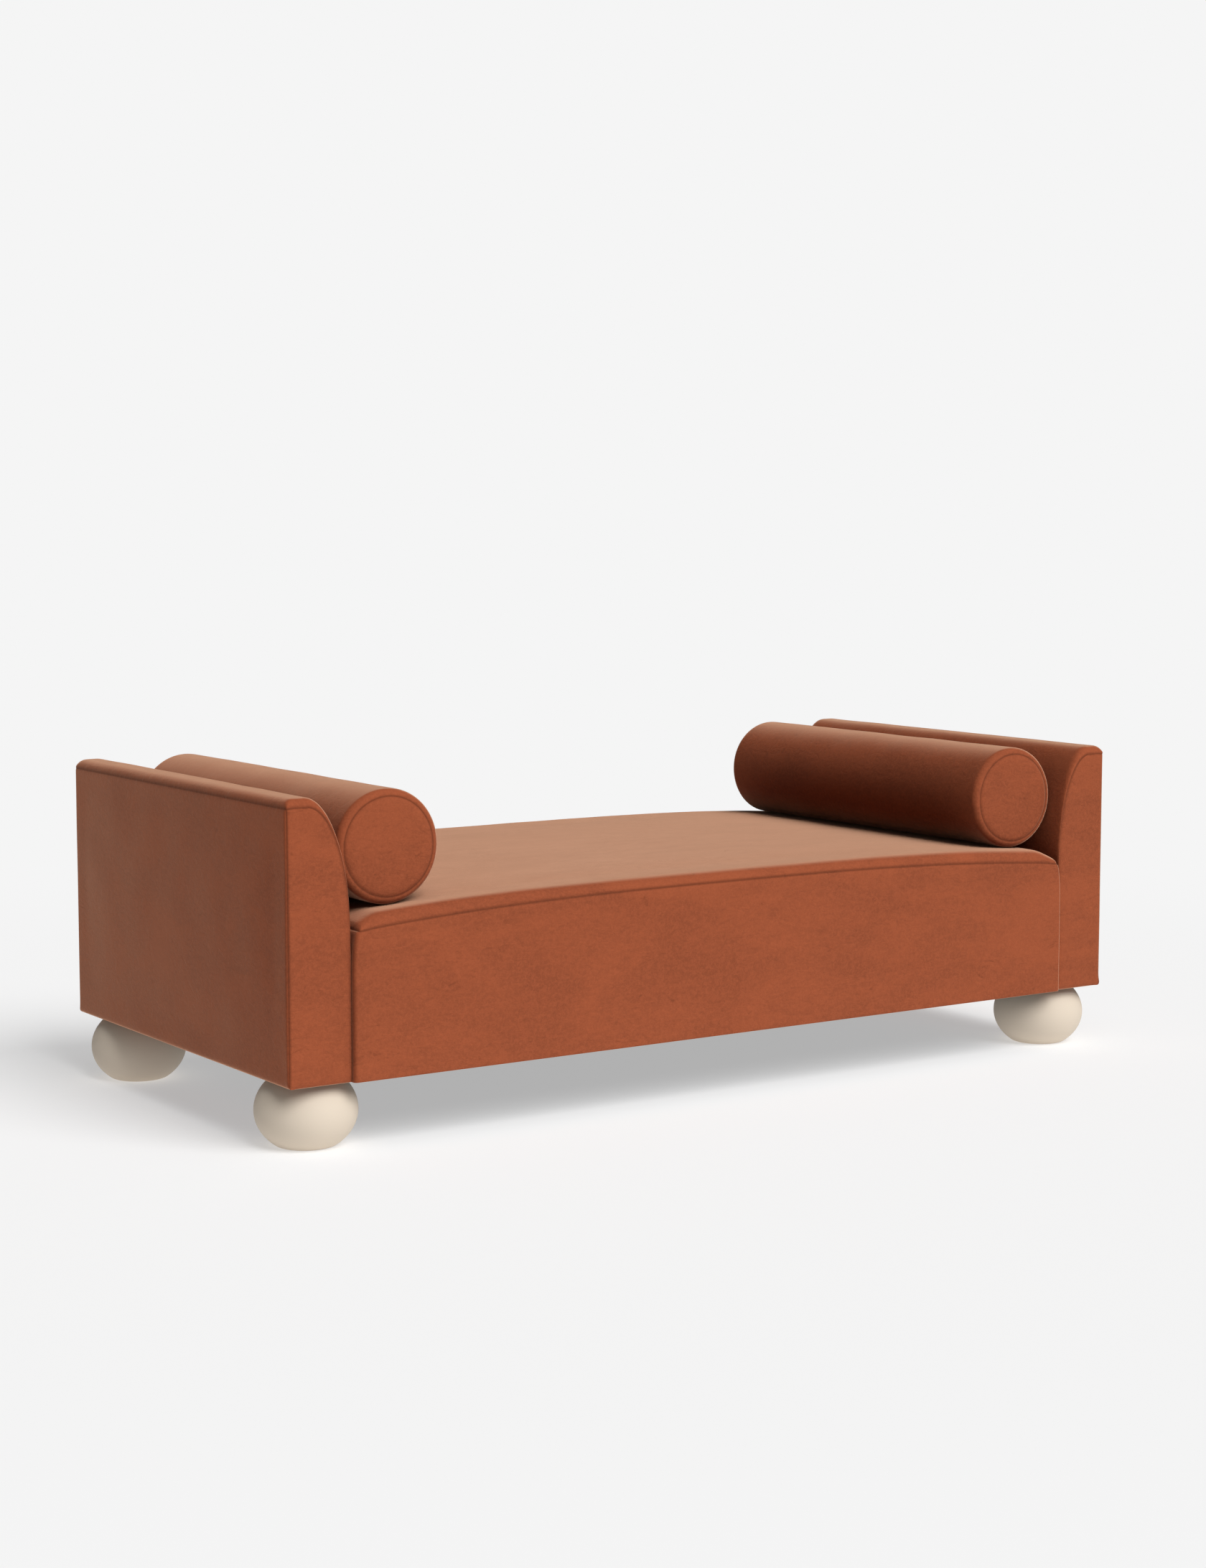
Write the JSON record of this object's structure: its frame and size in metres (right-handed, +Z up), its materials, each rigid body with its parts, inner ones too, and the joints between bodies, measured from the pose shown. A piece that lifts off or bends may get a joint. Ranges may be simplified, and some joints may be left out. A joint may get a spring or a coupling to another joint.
{
  "type": "daybed",
  "caption": "Velvet daybed with a crowned seat between two curved slab arms, loose round bolsters at the ends, and pale wooden ball feet.",
  "frame": {"origin": "on the floor at the middle of the footprint", "axes": "+X along the length towards the right arm, -Y towards the front, +Z up"},
  "size_m": [2.0176, 0.971, 0.6619],
  "materials": {
    "velvet": "matte",
    "bleached_wood": "matte",
    "frame_wood": "matte",
    "foam": "matte",
    "fibre_fill": "matte",
    "webbing": "matte",
    "dust_cloth": "matte",
    "zip_tape": "matte",
    "steel": "satin"
  },
  "bodies": {
    "frame": {"arm_left_back_board": "frame_wood", "arm_left_back_cover": "velvet", "arm_left_bottom_rail": "frame_wood", "arm_left_foam": "foam", "arm_left_front_board": "frame_wood", "arm_left_front_cover": "velvet", "arm_left_joint_rail": "frame_wood", "arm_left_outer_board": "frame_wood", "arm_left_outer_cover": "velvet", "arm_left_top_cover": "velvet", "arm_left_top_rail": "frame_wood", "arm_right_back_board": "frame_wood", "arm_right_back_cover": "velvet", "arm_right_bottom_rail": "frame_wood", "arm_right_foam": "foam", "arm_right_front_board": "frame_wood", "arm_right_front_cover": "velvet", "arm_right_joint_rail": "frame_wood", "arm_right_outer_board": "frame_wood", "arm_right_outer_cover": "velvet", "arm_right_top_cover": "velvet", "arm_right_top_rail": "frame_wood", "bolt_back_left": "steel", "bolt_back_right": "steel", "bolt_front_left": "steel", "bolt_front_right": "steel", "foot_back_left_ball": "bleached_wood", "foot_back_left_stud": "steel", "foot_back_right_ball": "bleached_wood", "foot_back_right_stud": "steel", "foot_front_left_ball": "bleached_wood", "foot_front_left_stud": "steel", "foot_front_right_ball": "bleached_wood", "foot_front_right_stud": "steel", "seat_back_cover": "velvet", "seat_back_rail": "frame_wood", "seat_cross_rail": "frame_wood", "seat_dust_cover": "dust_cloth", "seat_foam": "foam", "seat_front_cover": "velvet", "seat_front_rail": "frame_wood", "seat_left_end_rail": "frame_wood", "seat_right_end_rail": "frame_wood", "seat_top_cover": "velvet", "seat_webbing": "webbing"},
    "bolster_left": {"bolster_left_back_cap": "velvet", "bolster_left_fill": "fibre_fill", "bolster_left_front_cap": "velvet", "bolster_left_tube": "velvet", "bolster_left_zip": "zip_tape"},
    "bolster_left_zip_slider": {"bolster_left_zip_slider": "steel"},
    "bolster_right": {"bolster_right_back_cap": "velvet", "bolster_right_fill": "fibre_fill", "bolster_right_front_cap": "velvet", "bolster_right_tube": "velvet", "bolster_right_zip": "zip_tape"},
    "bolster_right_zip_slider": {"bolster_right_zip_slider": "steel"}
  },
  "joints": [
    {"name": "bolster_left_lift", "type": "slide", "parent": "frame", "child": "bolster_left", "axis": [0, 0, 1], "range_m": [0, 0.4]},
    {"name": "bolster_left_zip_run", "type": "slide", "parent": "bolster_left", "child": "bolster_left_zip_slider", "axis": [0, -1, 0], "range_m": [0, 0.676]},
    {"name": "bolster_right_lift", "type": "slide", "parent": "frame", "child": "bolster_right", "axis": [0, 0, 1], "range_m": [0, 0.4]},
    {"name": "bolster_right_zip_run", "type": "slide", "parent": "bolster_right", "child": "bolster_right_zip_slider", "axis": [0, -1, 0], "range_m": [0, 0.676]}
  ]
}
